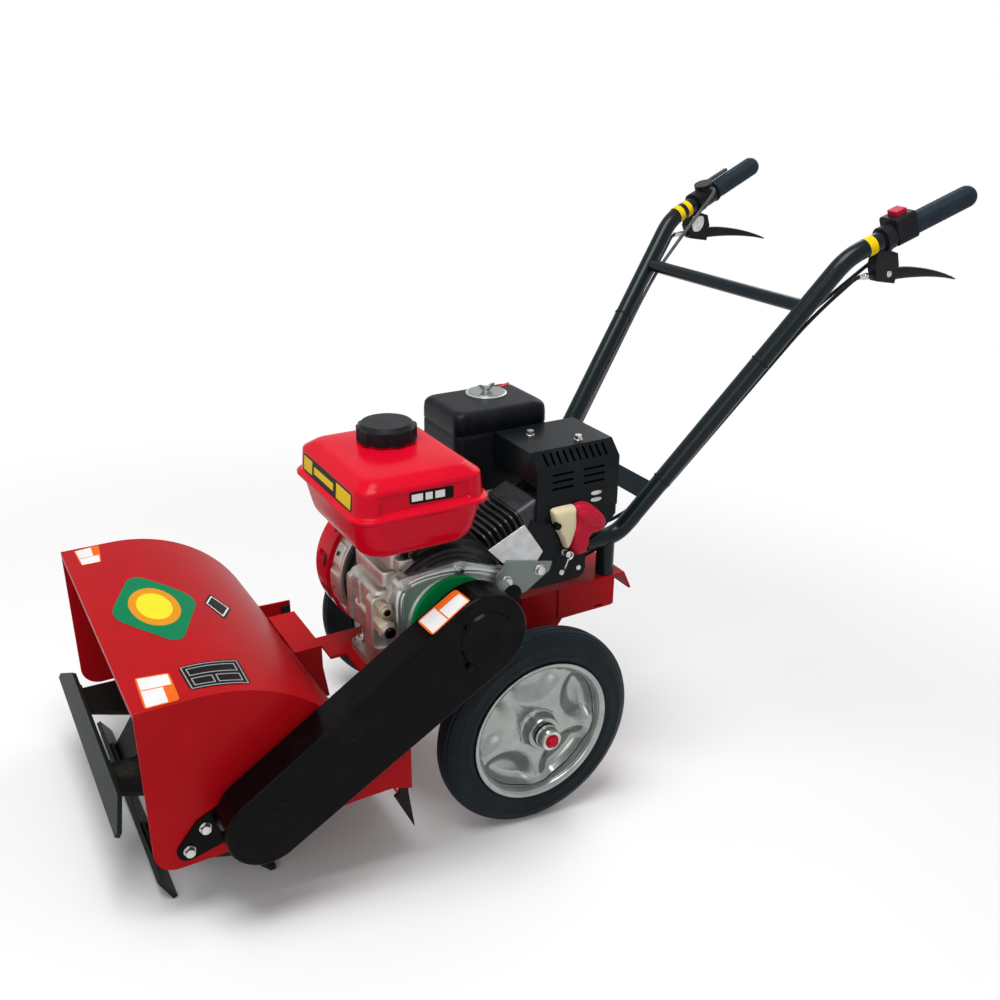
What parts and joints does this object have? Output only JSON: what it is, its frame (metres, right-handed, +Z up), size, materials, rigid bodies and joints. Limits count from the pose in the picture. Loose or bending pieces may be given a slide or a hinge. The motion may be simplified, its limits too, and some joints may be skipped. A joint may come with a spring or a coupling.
{
  "type": "power weeder",
  "caption": "Walk-behind two-wheeled power weeder with a petrol engine, a hooded bar reel at the front and long rear handles.",
  "frame": {"origin": "middle of the footprint of the whole parked machine, on the ground", "axes": "+X forward towards the reel, +Y to the machine's left, +Z up"},
  "size_m": [1.2366, 0.55, 0.9242],
  "materials": {
    "frame_red": "gloss",
    "tank_red": "gloss",
    "plug_red": "satin",
    "tyre_rubber": "matte",
    "galvanised": "satin",
    "blade_steel": "satin",
    "reel_black": "satin",
    "guard_black": "gloss",
    "tube_black": "gloss",
    "grip_rubber": "matte",
    "control_black": "satin",
    "engine_alloy": "matte",
    "fin_alloy": "matte",
    "disc_green": "gloss",
    "muffler_black": "satin",
    "cover_alloy": "satin",
    "label_silver": "satin",
    "cable_black": "satin",
    "cable_grey": "satin",
    "cleaner_black": "satin",
    "plug_cream": "satin",
    "bracket_grey": "satin"
  },
  "bodies": {
    "chassis": {"air_cleaner": "cleaner_black", "axle_beam": "frame_red", "belt_guard": "guard_black", "carburettor": "engine_alloy", "cleaner_nut": "galvanised", "crankcase": "engine_alloy", "crossbar": "tube_black", "cylinder": "fin_alloy", "cylinder_head": "fin_alloy", "drive_disc": "disc_green", "engine_bed": "frame_red", "fan_housing": "engine_alloy", "final_drive": "reel_black", "fuel_tank": "tank_red", "grip_left": "grip_rubber", "grip_right": "grip_rubber", "guard_back_plate": "guard_black", "guard_bracket": "bracket_grey", "hand_lever_left": "control_black", "hand_lever_right": "control_black", "handle_base": "frame_red", "handle_posts": "tube_black", "handle_tube_left": "tube_black", "handle_tube_right": "tube_black", "hood_side_left": "frame_red", "hood_side_right": "frame_red", "hood_top": "frame_red", "kill_switch": "plug_red", "label_plate": "label_silver", "lever_cable_left": "cable_black", "lever_cable_right": "cable_grey", "lever_perch_left": "control_black", "lever_perch_right": "control_black", "lower_shield": "muffler_black", "lower_strip": "tube_black", "muffler": "muffler_black", "muffler_guard": "muffler_black", "neck": "frame_red", "plug_cap": "plug_red", "rear_tine_left": "reel_black", "rear_tine_right": "reel_black", "recoil_shroud": "tank_red", "reel_bearing": "frame_red", "side_cover": "cover_alloy", "spark_plug": "plug_cream", "switch_block": "control_black", "switch_wire": "cable_black", "tank_cap": "control_black", "tank_stay": "muffler_black", "throttle_cable": "cable_grey", "throttle_control": "control_black"},
    "wheel_left": {"tyre_left": "tyre_rubber", "wheel_rim_left": "galvanised"},
    "wheel_right": {"tyre_right": "tyre_rubber", "wheel_rim_right": "galvanised"},
    "reel": {"reel_bars": "blade_steel", "reel_shaft": "reel_black"}
  },
  "joints": [
    {"name": "wheel_left_axle", "type": "hinge", "parent": "chassis", "child": "wheel_left", "pos_m": [0.05454, 0.195, 0.15], "axis": [0, 1, 0], "continuous": true},
    {"name": "wheel_right_axle", "type": "hinge", "parent": "chassis", "child": "wheel_right", "pos_m": [0.05454, -0.227, 0.15], "axis": [0, 1, 0], "continuous": true},
    {"name": "reel_shaft_bearing", "type": "hinge", "parent": "chassis", "child": "reel", "pos_m": [0.48793, -0.016, 0.11474], "axis": [0, 1, 0], "continuous": true}
  ]
}
